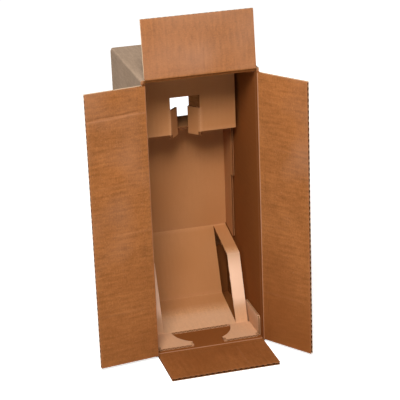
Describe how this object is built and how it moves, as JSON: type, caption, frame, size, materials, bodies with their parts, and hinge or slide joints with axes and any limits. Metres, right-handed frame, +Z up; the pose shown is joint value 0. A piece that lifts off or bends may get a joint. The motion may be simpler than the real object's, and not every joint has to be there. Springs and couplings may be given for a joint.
{
  "type": "bottle shipping box",
  "caption": "Upright corrugated carton with its front flaps open and one folded board insert with a stepped pocket and a neck slot for a bottle.",
  "frame": {"origin": "middle of the carton's bottom face", "axes": "+X to the right seen from the open front, +Y from the front to the back, +Z up"},
  "size_m": [0.2733, 0.3209, 0.4566],
  "materials": {
    "carton_board": "matt",
    "insert_board": "matt"
  },
  "bodies": {
    "carton": {"carton_body": "carton_board", "bottle_insert": "insert_board"},
    "front_left": {"flap_front_left": "carton_board"},
    "front_right": {"flap_front_right": "carton_board"},
    "front_top": {"flap_front_top": "carton_board"},
    "front_bottom": {"flap_front_bottom": "carton_board"},
    "back_left": {"flap_back_left": "carton_board"},
    "back_right": {"flap_back_right": "carton_board"}
  },
  "joints": [
    {"name": "front_left_crease", "type": "hinge", "parent": "carton", "child": "front_left", "pos_m": [-0.077, -0.0885, 0.19], "axis": [0, 0, -1], "range_deg": [-172, 97]},
    {"name": "front_right_crease", "type": "hinge", "parent": "carton", "child": "front_right", "pos_m": [0.077, -0.0885, 0.19], "axis": [0, 0, 1], "range_deg": [-124.5, 144.5]},
    {"name": "front_top_crease", "type": "hinge", "parent": "carton", "child": "front_top", "pos_m": [0, -0.0843, 0.38], "axis": [-1, 0, 0], "range_deg": [-185.6, 83.4]},
    {"name": "front_bottom_crease", "type": "hinge", "parent": "carton", "child": "front_bottom", "pos_m": [0, -0.0843, 0], "axis": [1, 0, 0], "range_deg": [-90, 0]},
    {"name": "back_left_crease", "type": "hinge", "parent": "carton", "child": "back_left", "pos_m": [-0.077, 0.0885, 0.19], "axis": [0, 0, 1], "range_deg": [0, 269]},
    {"name": "back_right_crease", "type": "hinge", "parent": "carton", "child": "back_right", "pos_m": [0.077, 0.0885, 0.19], "axis": [0, 0, -1], "range_deg": [-69, 200]}
  ]
}
